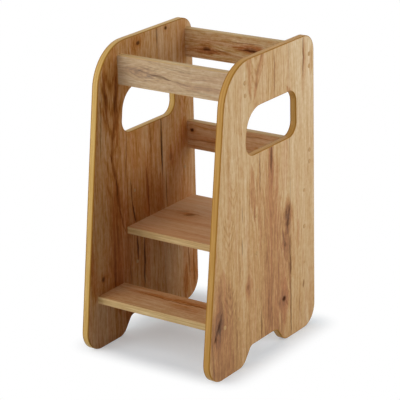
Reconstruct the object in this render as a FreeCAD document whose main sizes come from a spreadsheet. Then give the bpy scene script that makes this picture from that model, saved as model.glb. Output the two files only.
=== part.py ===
"""A toddler's kitchen helper stool: two board side panels, three rails, a standing platform and a step.

Millimetres, +Z up.  X runs across the stool, Y from the step's side to the back.  The origin is on the
floor under the middle of the stool.  Each board is a chipboard core with its edges covered by a plastic
band, and the boards are held between the side panels by confirmat screws driven in from outside.
"""
import FreeCAD, Part
import os
import Sketcher

doc = FreeCAD.newDocument("kitchen_helper_stool")

# ------------------------------------------------------------------------------------------- sizes

SIZES = {
    "width": (400, "over the outer faces of the side panels"),
    "height": (800, "floor to the top of the side panels"),
    "depth": (500, "front of the feet to the rear edge of the side panels"),
    "board": (19, "thickness of every board"),
    "band": (2, "thickness of the edge band"),
    "band_rounding": (1.5, "radius of the band's long arrises"),
    "front_lean": (7.7, "lean of the side panels' front edge, in degrees from upright"),
    "foot_radius": (55, "outer corners of the feet"),
    "front_top_radius": (120, "front top corner of the side panels"),
    "rear_top_radius": (45, "rear top corner of the side panels"),
    "notch_width": (194, "gap between the feet at the floor"),
    "notch_height": (45, "height of the gap between the feet"),
    "notch_run": (36, "how far each side of the gap slants inwards"),
    "toe_radius": (40, "inner corners of the feet"),
    "notch_radius": (20, "upper corners of the gap between the feet"),
    "hand_hole_drop": (128, "top of the hand hole below the top of the panels"),
    "hand_hole_height": (121, "height of the hand hole"),
    "hand_hole_front_margin": (108, "from the panel's front edge to the hand hole"),
    "hand_hole_rear_margin": (86, "from the panel's rear edge to the hand hole"),
    "hand_hole_radius": (35, "three of the hand hole's corners"),
    "hand_hole_front_radius": (65, "the hand hole's upper front corner"),
    "rail_height": (78, "height of each rail"),
    "front_rail_drop": (34, "top of the front rail below the top of the panels"),
    "front_rail_front": (171, "front face of the front rail behind the front of the feet"),
    "rear_rail_drop": (29, "top of the upper rear rail below the top of the panels"),
    "middle_rail_drop": (286, "top of the middle rear rail below the top of the panels"),
    "rear_inset": (13, "rear rails and platform in from the panels' rear edges"),
    "platform_top": (297, "standing surface above the floor"),
    "platform_depth": (302, "front to back of the platform"),
    "level_spacing": (100, "between the three heights that the platform can be screwed at"),
    "step_top": (147, "tread of the step above the floor"),
    "step_front": (48, "front edge of the step behind the front of the feet"),
    "step_depth": (115, "front to back of the step"),
    "rail_screw_spacing": (32, "between the two screws in each rail end"),
    "platform_screw_inset": (37, "platform screws in from its front and rear edges"),
    "step_screw_inset": (24, "step screws in from its front and rear edges"),
    "screw_length": (50, "confirmat screw, over all"),
    "screw_diameter": (7, "confirmat screw's shank and thread"),
    "screw_tip": (5, "length of the screw's tapered tip"),
    "screw_tip_diameter": (3, "end of the screw's tip"),
    "screw_head_diameter": (10, "confirmat screw's head"),
    "screw_head_height": (2.5, "depth of the head, flush with the panel"),
    "socket_width": (4, "hexagon socket across its flats"),
    "socket_depth": (3, "hexagon socket"),
    "bore_clearance": (0.2, "added to a screw's or plug's diameter for its hole"),
    "bore_end_gap": (2.5, "from the screw's tip to the end of its bore"),
    "cap_diameter": (12, "cap over each screw head"),
    "cap_pin_diameter": (3.6, "pin that holds the cap in the screw's socket"),
    "cap_pin_length": (2.5, "pin that holds the cap in the screw's socket"),
    "plug_diameter": (10, "head of the plugs that close the unused platform holes"),
    "plug_pin_length": (7, "pin of those plugs"),
    "cap_height": (1.2, "how far caps and plugs stand off the panel"),
    "cap_rounding": (0.8, "rounding of the caps' and plugs' rims"),
}


def write_sheet():
    """The driving dimensions, one to a row: name, value, meaning."""
    sheet = doc.addObject("Spreadsheet::Sheet", "Sizes")
    for row, (alias, (size, meaning)) in enumerate(SIZES.items(), start=1):
        sheet.set(f"A{row}", alias)
        sheet.set(f"B{row}", str(size))
        sheet.set(f"C{row}", meaning)
        sheet.setAlias(f"B{row}", alias)
    doc.recompute()
    return sheet


sheet = write_sheet()


def sized(text):
    """An expression on the sheet, from text that names its cells between braces."""
    return text.replace("{", "Sizes.").replace("}", "")


def value(expression):
    """What an expression comes to now, in millimetres."""
    result = sheet.evalExpression(expression)
    return float(getattr(result, "Value", result))


# ------------------------------------------------------------------------- places that boards share

INNER_WIDTH = sized("({width} - 2 * {board})")
HALF_WIDTH = sized("({width} / 2)")
RIGHT_X = sized("({width} / 2 - {board})")
LEFT_X = sized("(-{width} / 2)")
REAR_LINE = sized("({depth} - {rear_inset})")
REAR_RAIL_FRONT = sized("({depth} - {rear_inset} - {board})")
PLATFORM_FRONT = sized("({depth} - {rear_inset} - {platform_depth})")
PLATFORM_LEVEL = sized("({platform_top} - {board} / 2)")
FRONT_RAIL_TOP = sized("({height} - {front_rail_drop})")
REAR_RAIL_TOP = sized("({height} - {rear_rail_drop})")
MIDDLE_RAIL_TOP = sized("({height} - {middle_rail_drop})")
HAND_HOLE_TOP = sized("({height} - {hand_hole_drop})")

# The front edge leans back from the front foot, whose rounded corner reaches the line y = 0.
LEAN = sized("tan({front_lean})")
LEAN_LENGTH = sized("(1 / cos({front_lean}))")
TOE_CORNER = sized(f"(-{{foot_radius}} * ({LEAN} + {LEAN_LENGTH} - 1))")

NOTCH_SLOPE = sized("({notch_run} / {notch_height})")
NOTCH_SIDE = f"sqrt(1 + {NOTCH_SLOPE} ^ 2)"

LOWER_AND_UPPER = ("-", "+")

# A rounding takes at most this much of the thickness that it is cut from.
ROUNDED_SHARE = 0.8

# Screw places are (y, z) pairs of expressions, one list for each board's end.


def rail_screws(front, top):
    middle = sized(f"({top} - {{rail_height}} / 2)")
    depth = sized(f"({front} + {{board}} / 2)")
    return [(depth, sized(f"({middle} {sign} {{rail_screw_spacing}} / 2)")) for sign in LOWER_AND_UPPER]


def platform_screws(level):
    front = sized(f"({PLATFORM_FRONT} + {{platform_screw_inset}})")
    rear = sized(f"({REAR_LINE} - {{platform_screw_inset}})")
    return [(front, level), (rear, level)]


def step_screws():
    level = sized("({step_top} - {board} / 2)")
    front = sized("({step_front} + {step_screw_inset})")
    rear = sized("({step_front} + {step_depth} - {step_screw_inset})")
    return [(front, level), (rear, level)]


SCREWS = {
    "front_top_rail": rail_screws(sized("{front_rail_front}"), FRONT_RAIL_TOP),
    "rear_top_rail": rail_screws(REAR_RAIL_FRONT, REAR_RAIL_TOP),
    "rear_middle_rail": rail_screws(REAR_RAIL_FRONT, MIDDLE_RAIL_TOP),
    "standing_platform": platform_screws(PLATFORM_LEVEL),
    "lower_step": step_screws(),
}
SPARE_LEVELS = [sized(f"({PLATFORM_LEVEL} {sign} {{level_spacing}})") for sign in LOWER_AND_UPPER]
SPARE_HOLES = [place for level in SPARE_LEVELS for place in platform_screws(level)]

# --------------------------------------------------------------------------------- modelling helpers


def new_body(label, x="0", y="0", z="0"):
    """A body whose own origin stands at x, y, z, with y counted from the front of the feet."""
    body = doc.addObject("PartDesign::Body", label)
    body.Label = label
    body.setExpression("Placement.Base.x", x)
    body.setExpression("Placement.Base.y", sized(f"{y} - {{depth}} / 2"))
    body.setExpression("Placement.Base.z", z)
    return body


def new_sketch(body, name, role, offset="0"):
    """A sketch on one of the body's origin planes, moved along the plane's normal by offset."""
    plane = next(feature for feature in body.Origin.OriginFeatures if feature.Role == role)
    sketch = body.newObject("Sketcher::SketchObject", name)
    sketch.AttachmentSupport = (plane, "")
    sketch.MapMode = "FlatFace"
    sketch.setExpression("AttachmentOffset.Base.z", offset)
    return sketch


def fix_point(sketch, curve, end, across, up):
    """Hold one point of a curve at two expressions, measured from the sketch's origin."""
    for kind, expression in (("DistanceX", across), ("DistanceY", up)):
        rule = sketch.addConstraint(
            Sketcher.Constraint(kind, -1, 1, curve, end, value(expression))
        )
        sketch.setExpression(f"Constraints[{rule}]", expression)


def polygon(body, name, role, corners, offset="0"):
    """A closed outline with straight sides through corners, each a pair of expressions."""
    sketch = new_sketch(body, name, role, offset)
    points = [FreeCAD.Vector(value(across), value(up), 0) for across, up in corners]
    for start, end in zip(points, points[1:] + points[:1]):
        sketch.addGeometry(Part.LineSegment(start, end))
    for side, (across, up) in enumerate(corners):
        following = (side + 1) % len(corners)
        sketch.addConstraint(Sketcher.Constraint("Coincident", side, 2, following, 1))
        fix_point(sketch, side, 1, across, up)
    return sketch


def circles(body, name, role, centres, diameter, offset="0"):
    """Equal circles around centres, each a pair of expressions."""
    sketch = new_sketch(body, name, role, offset)
    radius = f"{diameter} / 2"
    up_axis = FreeCAD.Vector(0, 0, 1)
    for curve, (across, up) in enumerate(centres):
        centre = FreeCAD.Vector(value(across), value(up), 0)
        sketch.addGeometry(Part.Circle(centre, up_axis, value(radius)))
        fix_point(sketch, curve, 3, across, up)
        rule = sketch.addConstraint(Sketcher.Constraint("Radius", curve, value(radius)))
        sketch.setExpression(f"Constraints[{rule}]", radius)
    return sketch


def add_pad(body, sketch, length, symmetric=False):
    pad = body.newObject("PartDesign::Pad", f"{sketch.Name}_pad")
    pad.Profile = sketch
    pad.SideType = "Symmetric" if symmetric else "One side"
    pad.setExpression("Length", length)
    doc.recompute()
    return pad


def add_pocket(body, sketch, depth=None, along_normal=False):
    """Cut the sketch into the body, right through it where no depth is given."""
    before = body.Shape.Volume
    pocket = body.newObject("PartDesign::Pocket", f"{sketch.Name}_pocket")
    pocket.Profile = sketch
    pocket.Reversed = along_normal
    if depth is None:
        pocket.Type = "ThroughAll"
    else:
        pocket.setExpression("Length", depth)
    doc.recompute()
    if not body.Shape.Volume < before:
        raise RuntimeError(f"{pocket.Name} cuts nothing")
    return pocket


def add_fillet(body, base, edges, radius):
    """Round the named edges of the feature base."""
    fillet = body.newObject("PartDesign::Fillet", f"{base.Name}_round")
    fillet.Base = (base, edges)
    fillet.setExpression("Radius", radius)
    doc.recompute()
    return fillet


SAME = 1e-3


def corner_edges(feature, corners):
    """Names of the feature's edges along X that pass through corners, each a (y, z) pair."""
    names = []
    for number, edge in enumerate(feature.Shape.Edges, start=1):
        start, end = edge.Vertexes[0].Point, edge.Vertexes[-1].Point
        along_x = abs(start.y - end.y) < SAME and abs(start.z - end.z) < SAME
        for y, z in corners:
            if along_x and abs(start.y - y) < SAME and abs(start.z - z) < SAME:
                names.append(f"Edge{number}")
    return names


def round_corners(body, feature, outline):
    """Round an extruded outline's corners, given as (across, up, radius) expressions."""
    for radius in dict.fromkeys(corner[2] for corner in outline):
        places = [(value(y), value(z)) for y, z, size in outline if size == radius]
        feature = add_fillet(body, feature, corner_edges(feature, places), radius)
    return feature


def flat_face_loops(feature, outer):
    """Names of the edges around a ring's flat faces: the outer loops, or else the inner ones."""
    wanted = []
    for face in feature.Shape.Faces:
        if isinstance(face.Surface, Part.Plane) and abs(face.Surface.Axis.x) > 1 - SAME:
            for wire in face.Wires:
                if wire.isSame(face.OuterWire) == outer:
                    wanted.extend(wire.Edges)
    edges = enumerate(feature.Shape.Edges, start=1)
    return [f"Edge{number}" for number, edge in edges if any(edge.isSame(e) for e in wanted)]


# -------------------------------------------------------------------------------- panel outlines


def panel_outline(inset):
    """The side panel's outline, set in by inset, as (y, z, corner radius) expressions."""
    convex = {
        name: sized(f"{{{name}}} - {inset}")
        for name in ("foot_radius", "front_top_radius", "rear_top_radius", "toe_radius")
    }
    concave = sized(f"{{notch_radius}} + {inset}")

    def front_edge(z):
        return f"{TOE_CORNER} + ({z}) * {LEAN} + {inset} * {LEAN_LENGTH}"

    def notch_side(z, sign):
        half = sized(f"({{notch_width}} / 2 - ({z}) * {NOTCH_SLOPE} + {inset} * {NOTCH_SIDE})")
        return sized(f"{{depth}} / 2 {sign} {half}")

    floor = inset
    top = sized(f"{{height}} - {inset}")
    rear = sized(f"{{depth}} - {inset}")
    notch_top = sized(f"{{notch_height}} + {inset}")
    return [
        (front_edge(floor), floor, convex["foot_radius"]),
        (front_edge(top), top, convex["front_top_radius"]),
        (rear, top, convex["rear_top_radius"]),
        (rear, floor, convex["foot_radius"]),
        (notch_side(floor, "+"), floor, convex["toe_radius"]),
        (notch_side(notch_top, "+"), notch_top, concave),
        (notch_side(notch_top, "-"), notch_top, concave),
        (notch_side(floor, "-"), floor, convex["toe_radius"]),
    ]


def hand_hole_outline(outset):
    """The hand hole's outline, made larger by outset, as (y, z, corner radius) expressions."""
    radius = sized(f"{{hand_hole_radius}} + {outset}")
    front_radius = sized(f"{{hand_hole_front_radius}} + {outset}")
    top = f"{HAND_HOLE_TOP} + {outset}"
    bottom = sized(f"{HAND_HOLE_TOP} - {{hand_hole_height}} - {outset}")
    rear = sized(f"{{depth}} - {{hand_hole_rear_margin}} + {outset}")

    def front(z):
        margin = sized(f"({{hand_hole_front_margin}} - {outset})")
        return f"{TOE_CORNER} + ({z}) * {LEAN} + {margin} * {LEAN_LENGTH}"

    return [
        (front(bottom), bottom, radius),
        (front(top), top, front_radius),
        (rear, top, radius),
        (rear, bottom, radius),
    ]


def places(outline):
    return [(y, z) for y, z, radius in outline]


# ------------------------------------------------------------------------------------- side panels

BAND = sized("{band}")
BOARD = sized("{board}")
ROUNDING = sized(
    f"min({{band_rounding}}; {ROUNDED_SHARE} * {{band}}; {ROUNDED_SHARE} * {{board}} / 2)"
)
BORE = sized("({screw_diameter} + {bore_clearance})")
HEAD_BORE = sized("({screw_head_diameter} + {bore_clearance})")


RING_MIDDLES = []


def pad_outline(body, name, outline):
    """A slab as thick as a board inside a rounded outline."""
    pad = add_pad(body, polygon(body, name, "YZ_Plane", places(outline)), BOARD)
    round_corners(body, pad, outline)


def make_side_panel(side, x, outer_offset, seats_along_normal):
    """One side panel's core, with its hand hole, its screw holes and the seats for the heads."""
    panel = new_body(f"{side}_side_panel", x)
    pad_outline(panel, f"{side}_outline", panel_outline(BAND))
    hole = hand_hole_outline(BAND)
    hole_sketch = polygon(panel, f"{side}_hand_hole", "YZ_Plane", places(hole))
    round_corners(panel, add_pocket(panel, hole_sketch, along_normal=True), hole)
    screws = [place for board_screws in SCREWS.values() for place in board_screws]
    bores = circles(panel, f"{side}_bores", "YZ_Plane", screws + SPARE_HOLES, BORE)
    add_pocket(panel, bores, along_normal=True)
    seats = circles(panel, f"{side}_seats", "YZ_Plane", screws, HEAD_BORE, outer_offset)
    add_pocket(panel, seats, sized("{screw_head_height}"), seats_along_normal)
    return panel


def make_ring(label, x, outer, inner, exposed_outside):
    """A band between two outlines, its arrises rounded on the loop that stays exposed."""
    band = new_body(label, x)
    pad_outline(band, f"{label}_outer", outer)
    middle = doc.addObject("PartDesign::Body", f"{label}_middle")
    pad_outline(middle, f"{label}_inner", inner)
    RING_MIDDLES.append(middle)
    whole = band.Shape.Volume
    ring = band.newObject("PartDesign::Boolean", f"{label}_ring")
    ring.Type = "Cut"
    ring.setObjects([middle])
    doc.recompute()
    if ring.Shape.Volume > 0.5 * whole:
        raise RuntimeError(f"{label} keeps its middle")
    add_fillet(band, ring, flat_face_loops(ring, outer=exposed_outside), ROUNDING)
    return band


# ------------------------------------------------------------------- boards between the side panels


def rectangle(wide, tall):
    return [("0", "0"), (wide, "0"), (wide, tall), ("0", tall)]


def make_board(label, y, z, wide, tall, screws):
    """A board core across the stool, wide in Y and tall in Z, with a screw bore in each end."""
    board = new_body(label, "0", y, z)
    section = polygon(board, f"{label}_section", "YZ_Plane", rectangle(wide, tall))
    add_pad(board, section, INNER_WIDTH, symmetric=True)
    centres = [(f"{place_y} - ({y})", f"{place_z} - ({z})") for place_y, place_z in screws]
    end = f"{INNER_WIDTH} / 2"
    bores = circles(board, f"{label}_end_bores", "YZ_Plane", centres, BORE, end)
    depth = sized("{screw_length} - {board} + {bore_end_gap}")
    pocket = add_pocket(board, bores, depth)
    mirror = board.newObject("PartDesign::Mirrored", f"{label}_other_end")
    mirror.Originals = [pocket]
    mirror.MirrorPlane = (bores.AttachmentSupport[0][0], [""])
    board.Tip = mirror
    doc.recompute()
    return board


def make_strip(label, y, z, wide, tall, exposed):
    """A band strip across the stool; exposed names its corners that are rounded, as (y, z)."""
    strip = new_body(label, "0", y, z)
    section = polygon(strip, f"{label}_section", "YZ_Plane", rectangle(wide, tall))
    pad = add_pad(strip, section, INNER_WIDTH, symmetric=True)
    corners = [(value(across), value(up)) for across, up in exposed]
    add_fillet(strip, pad, corner_edges(pad, corners), ROUNDING)
    return strip


def make_flat_board(label, short_name, front, top, depth, screws):
    """A level board with a band on its front and rear edges."""
    bottom = sized(f"({top} - {{board}})")
    core_front = f"({front} + {BAND})"
    core_depth = f"({depth} - 2 * {BAND})"
    make_board(label, core_front, bottom, core_depth, BOARD, screws)
    front_corners = [("0", "0"), ("0", BOARD)]
    rear_corners = [(BAND, "0"), (BAND, BOARD)]
    make_strip(f"{short_name}_front_edge_band", front, bottom, BAND, BOARD, front_corners)
    rear = f"({front} + {depth} - {BAND})"
    make_strip(f"{short_name}_rear_edge_band", rear, bottom, BAND, BOARD, rear_corners)


def make_rail(label, front, top):
    """An upright board with a band on its top and bottom edges."""
    bottom = sized(f"({top} - {{rail_height}})")
    core_bottom = f"({bottom} + {BAND})"
    core_height = sized("({rail_height} - 2 * {band})")
    make_board(label, front, core_bottom, BOARD, core_height, SCREWS[label])
    make_strip(f"{label}_lower_edge_band", front, bottom, BOARD, BAND, [("0", "0"), (BOARD, "0")])
    upper = f"({top} - {BAND})"
    make_strip(f"{label}_upper_edge_band", front, upper, BOARD, BAND, [("0", BAND), (BOARD, BAND)])


# -------------------------------------------------------------------------------------- fasteners


HEXAGON_HALF_ANGLE = 30


def make_turned(label, profile):
    """A body turned about the X axis from its half profile, and the feature that turns it."""
    turned = doc.addObject("PartDesign::Body", label)
    sketch = polygon(turned, f"{label}_profile", "XZ_Plane", profile)
    revolution = turned.newObject("PartDesign::Revolution", f"{label}_turned")
    revolution.Profile = sketch
    axis = next(line for line in turned.Origin.OriginFeatures if line.Role == "X_Axis")
    revolution.ReferenceAxis = (axis, [""])
    doc.recompute()
    return turned, revolution


def make_screw():
    """The confirmat screw: flush head with a hexagon socket, plain shank, tapered tip."""
    head = sized("{screw_head_diameter} / 2")
    shank = sized("{screw_diameter} / 2")
    tip = sized("{screw_tip_diameter} / 2")
    profile = [
        ("0", "0"),
        ("0", head),
        (sized("-{screw_head_height}"), head),
        (sized("-{screw_head_height}"), shank),
        (sized("-({screw_length} - {screw_tip})"), shank),
        (sized("-{screw_length}"), tip),
        (sized("-{screw_length}"), "0"),
    ]
    screw, _ = make_turned("confirmat_screw", profile)
    flat = sized("{socket_width} / 2")
    corner = f"{flat} / cos({HEXAGON_HALF_ANGLE})"
    side = f"{flat} * tan({HEXAGON_HALF_ANGLE})"
    hexagon = [
        (flat, side),
        ("0", corner),
        (f"-{flat}", side),
        (f"-{flat}", f"-{side}"),
        ("0", f"-{corner}"),
        (flat, f"-{side}"),
    ]
    add_pocket(screw, polygon(screw, "socket", "YZ_Plane", hexagon), sized("{socket_depth}"))
    return screw


def make_cap(label, diameter, pin_diameter, pin_length):
    """A round cap that lies on the panel, with a pin into the hole that it covers."""
    rim = f"{diameter} / 2"
    pin = f"{pin_diameter} / 2"
    profile = [
        (f"-{pin_length}", "0"),
        (f"-{pin_length}", pin),
        ("0", pin),
        ("0", rim),
        (sized("{cap_height}"), rim),
        (sized("{cap_height}"), "0"),
    ]
    cap, turned = make_turned(label, profile)
    rims = []
    for number, edge in enumerate(turned.Shape.Edges, start=1):
        box = edge.BoundBox
        if box.XMin > value(sized("{cap_height}")) - SAME and box.YLength > value(rim):
            rims.append(f"Edge{number}")
    rounding = sized(f"min({{cap_rounding}}; {ROUNDED_SHARE} * {{cap_height}})")
    add_fillet(cap, turned, rims, rounding)
    return cap


def place_copies(label, original, holes, face=HALF_WIDTH, inward=False):
    """One node of copies of the original, at each hole on both side panels.

    The copies lie on the panel's face at the distance face from the middle, looking outwards, or
    inwards for those on the inner face.
    """
    copies = []
    for sign in ("", "-"):
        turn = 180 if (sign == "-") != inward else 0
        for y, z in holes:
            copy = doc.addObject("App::Link", f"{label}_copy")
            copy.LinkedObject = original
            up_axis = FreeCAD.Vector(0, 0, 1)
            copy.Placement = FreeCAD.Placement(FreeCAD.Vector(), FreeCAD.Rotation(up_axis, turn))
            copy.setExpression("Placement.Base.x", f"{sign}{face}")
            copy.setExpression("Placement.Base.y", sized(f"{y} - {{depth}} / 2"))
            copy.setExpression("Placement.Base.z", z)
            copies.append(copy)
    group = doc.addObject("Part::Compound", label)
    group.Label = label
    group.Links = copies
    doc.recompute()
    return group


# ------------------------------------------------------------------------------------ the assembly

make_side_panel("right", RIGHT_X, BOARD, seats_along_normal=False)
make_side_panel("left", LEFT_X, "0", seats_along_normal=True)
for side, x in (("right", RIGHT_X), ("left", LEFT_X)):
    make_ring(f"{side}_panel_edge_band", x, panel_outline("0"), panel_outline(BAND), True)
    hole_outlines = hand_hole_outline(BAND), hand_hole_outline("0")
    make_ring(f"{side}_hand_hole_edge_band", x, *hole_outlines, False)

make_rail("front_top_rail", sized("{front_rail_front}"), FRONT_RAIL_TOP)
make_rail("rear_top_rail", REAR_RAIL_FRONT, REAR_RAIL_TOP)
make_rail("rear_middle_rail", REAR_RAIL_FRONT, MIDDLE_RAIL_TOP)
make_flat_board(
    "standing_platform",
    "platform",
    PLATFORM_FRONT,
    sized("{platform_top}"),
    sized("{platform_depth}"),
    SCREWS["standing_platform"],
)
make_flat_board(
    "lower_step",
    "step",
    sized("{step_front}"),
    sized("{step_top}"),
    sized("{step_depth}"),
    SCREWS["lower_step"],
)

screw = make_screw()
screw_cap = make_cap(
    "screw_cap",
    sized("{cap_diameter}"),
    sized("{cap_pin_diameter}"),
    sized("{cap_pin_length}"),
)
hole_plug = make_cap(
    "hole_plug",
    sized("{plug_diameter}"),
    sized("{screw_diameter}"),
    sized("{plug_pin_length}"),
)
for board, board_screws in SCREWS.items():
    place_copies(f"{board}_screws", screw, board_screws)
    place_copies(f"{board}_screw_caps", screw_cap, board_screws)
place_copies("spare_hole_outer_plugs", hole_plug, SPARE_HOLES)
place_copies("spare_hole_inner_plugs", hole_plug, SPARE_HOLES, RIGHT_X, inward=True)

# ------------------------------------------------------------------------------- checks and export

for thing in doc.Objects:
    if "Invalid" in thing.State or "Error" in thing.State:
        raise RuntimeError(f"{thing.Label} failed: {thing.State}")

helpers = [screw, screw_cap, hole_plug] + RING_MIDDLES
nodes = [thing for thing in doc.Objects if thing.TypeId == "PartDesign::Body" and thing not in helpers]
nodes += [thing for thing in doc.Objects if thing.TypeId == "Part::Compound"]
for node in nodes:
    if node.Shape.isNull() or not node.Shape.isValid():
        raise RuntimeError(f"{node.Label} has no valid shape")

os.makedirs("parts", exist_ok=True)
for node in nodes:
    node.Shape.exportStep(f"parts/{node.Label}.step")
    print(f"{node.Label}: {len(node.Shape.Solids)} solid(s), {node.Shape.Volume / 1000:.1f} cm3")
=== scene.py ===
"""Toddler kitchen helper stool: the finishes and fine trim over its fixed frame of boards and screws."""
from functools import partial
import math

import bmesh
import bpy
from bpy.props import FloatProperty, FloatVectorProperty, IntProperty, PointerProperty
from mathutils import Matrix, Vector


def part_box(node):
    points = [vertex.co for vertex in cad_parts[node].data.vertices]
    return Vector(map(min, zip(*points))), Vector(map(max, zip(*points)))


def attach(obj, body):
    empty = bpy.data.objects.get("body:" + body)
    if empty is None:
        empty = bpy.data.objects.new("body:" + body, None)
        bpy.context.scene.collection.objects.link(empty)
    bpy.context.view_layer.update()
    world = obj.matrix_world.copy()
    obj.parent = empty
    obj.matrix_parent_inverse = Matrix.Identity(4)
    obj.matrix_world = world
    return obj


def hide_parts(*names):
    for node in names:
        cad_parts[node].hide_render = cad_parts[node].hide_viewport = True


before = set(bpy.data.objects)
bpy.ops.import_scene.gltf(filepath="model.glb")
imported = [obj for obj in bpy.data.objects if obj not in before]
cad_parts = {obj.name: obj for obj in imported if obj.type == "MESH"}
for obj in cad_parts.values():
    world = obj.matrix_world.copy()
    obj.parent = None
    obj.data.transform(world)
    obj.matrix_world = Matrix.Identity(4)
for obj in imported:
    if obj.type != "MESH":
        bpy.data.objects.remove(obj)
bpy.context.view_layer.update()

bl_info = {
    "name": "Toddler kitchen helper stool",
    "version": (1, 0, 0),
    "blender": (4, 5, 0),
    "location": "View3D > Sidebar > Helper stool",
    "description": "Oak decor, rounded edge bands, screw covers and a plain studio for the helper stool",
    "category": "Object",
}

BODY = "root"
MM = 0.001
SIDES = {"left": -1, "right": 1}
RAILS = ("front_top_rail", "rear_top_rail", "rear_middle_rail")
TREADS = {"standing_platform": "platform", "lower_step": "step"}
PANEL_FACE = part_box("right_side_panel")[1].x
VECTOR, RANGE, GROUP = "ShaderNodeVectorMath", "ShaderNodeMapRange", "ShaderNodeGroup"
COMBINE, SEPARATE, FLOAT = "ShaderNodeCombineXYZ", "ShaderNodeSeparateXYZ", "NodeSocketFloat"
# Math nodes, as their kind and operation
ADD, SUBTRACT, MULTIPLY, MULTIPLY_ADD, DIVIDE, POWER, SQRT, SINE, COSINE, ABSOLUTE, MINIMUM, MAXIMUM = (
    f"ShaderNodeMath.{name}"
    for name in "ADD SUBTRACT MULTIPLY MULTIPLY_ADD DIVIDE POWER SQRT SINE COSINE ABSOLUTE MINIMUM MAXIMUM".split()
)
COMPARE, LESS_THAN = "ShaderNodeMath.COMPARE", "ShaderNodeMath.LESS_THAN"
SMOOTH, COLOURS = {"interpolation_type": "SMOOTHSTEP"}, {"data_type": "RGBA", "output": 2}


def linear(code):
    """A sRGB hex colour as linear red, green and blue."""
    parts = [int(code[i : i + 2], 16) / 255 for i in (1, 3, 5)]
    return [p / 12.92 if p <= 0.04045 else ((p + 0.055) / 1.055) ** 2.4 for p in parts]


def colour(code, label, meaning):
    return FloatVectorProperty(
        name=label, description=meaning, default=linear(code), subtype="COLOR", size=3, min=0, max=1
    )


def length(metres, label, meaning):
    return FloatProperty(name=label, description=meaning, default=metres, min=0, unit="LENGTH", precision=5)


def angle(degrees, label, meaning):
    return FloatProperty(name=label, description=meaning, default=math.radians(degrees), unit="ROTATION")


def power(watts, label, meaning):
    return FloatProperty(name=label, description=meaning, default=watts, min=0, unit="POWER")


def level(share, label, meaning):
    return FloatProperty(name=label, description=meaning, default=share, min=0)


def facets(number, label, meaning):
    return IntProperty(name=label, description=meaning, default=number, min=3)


# ------------------------------------------------------------------------------------ user settings


class DecorSettings(bpy.types.PropertyGroup):
    """The oak print on the boards."""

    deep: colour("#4E2C13", "Deep oak", "Darkest grain of the golden print")
    brown: colour("#8F5D29", "Brown oak", "Dark grain of the golden print")
    golden: colour("#BC8F56", "Golden oak", "Middle of the golden print")
    light: colour("#D0B186", "Light oak", "Light grain of the golden print")
    pale: colour("#E5D1AF", "Pale oak", "Lightest grain of the golden print")
    red_deep: colour("#4C230D", "Deep red oak", "Darkest grain of the heartwood print")
    red: colour("#AC6B3C", "Red oak", "Middle of the heartwood print")
    red_pale: colour("#DDB48C", "Pale red oak", "Lightest grain of the heartwood print")
    mark: colour("#42200C", "Cracks and knots", "Cracks and the middles of knots")
    # Painted light: a pale grey painted sheen for the lit outer faces and a deep warm painted shade for the inner
    # faces, each washed over the print
    limed: colour("#D5C2A8", "Limed oak", "What the lightest boards' print is washed towards")
    stained: colour("#C4741C", "Stained oak", "What the warmest boards' print is washed towards")


class BandSettings(bpy.types.PropertyGroup):
    """The plastic edge bands."""

    board: length(0.019, "Board", "Thickness of the boards, over which the bands reach")
    thickness: length(0.002, "Thickness", "Thickness of the band")
    arris: length(0.0015, "Arris", "Radius of the band's long arrises")
    joint_width: length(0.00015, "Joint width", "Width of the scraped line beside the board's face")
    joint_depth: length(0.0002, "Joint depth", "Depth of the scraped line beside the board's face")
    overlap: length(0.0004, "Overlap", "How far the band runs on under the board's face")
    corner_steps: facets(24, "Corner steps", "Facets round a corner")
    arris_steps: facets(6, "Arris steps", "Facets round an arris")
    left_light: colour("#E0B972", "Left light print", "Light grain of the left panel's bands")
    left_dark: colour("#C69B50", "Left dark print", "Dark grain of the left panel's bands")
    # Painted shade: the right panel's bands carry a darker copy of the left panel's band print, for the shade on
    # that side
    right_light: colour("#D7A65E", "Right light print", "Light grain of the right panel's bands")
    right_dark: colour("#BD883E", "Right dark print", "Dark grain of the right panel's bands")
    # Painted shade: the panels' bare plastic is darker than its own dye, so that the milled arrises look shaded
    # where they turn from the light
    panel_body: colour("#A9772F", "Panels' plastic", "Dyed plastic of the panels' bands, bare where milled")
    board_light: colour("#E5C893", "Boards' light print", "Light grain of the rails' and treads' bands")
    board_dark: colour("#B1884E", "Boards' dark print", "Dark grain of the rails' and treads' bands")
    board_body: colour("#D0AC78", "Boards' plastic", "Dyed plastic of the rails' and treads' bands")


class CoverSettings(bpy.types.PropertyGroup):
    """Caps over the screws and plugs in the spare holes."""

    cap: length(0.012, "Cap", "Diameter of the cap over a screw head")
    cap_pin: length(0.0036, "Cap pin", "Diameter of the pin that holds a cap in the screw's socket")
    cap_pin_length: length(0.0025, "Cap pin length", "Length of that pin")
    plug: length(0.010, "Plug", "Diameter of a plug's head")
    plug_pin: length(0.007, "Plug pin", "Diameter of the plug's pin in its hole")
    plug_pin_length: length(0.007, "Plug pin length", "Length of that pin")
    height: length(0.0012, "Height", "How far caps and plugs stand off the board")
    segments: facets(28, "Segments", "Facets round a cap")
    rings: facets(7, "Rings", "Rings of facets in the dome")
    plastic: colour("#BD9560", "Plastic", "Moulded plastic of the caps and plugs")


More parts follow.
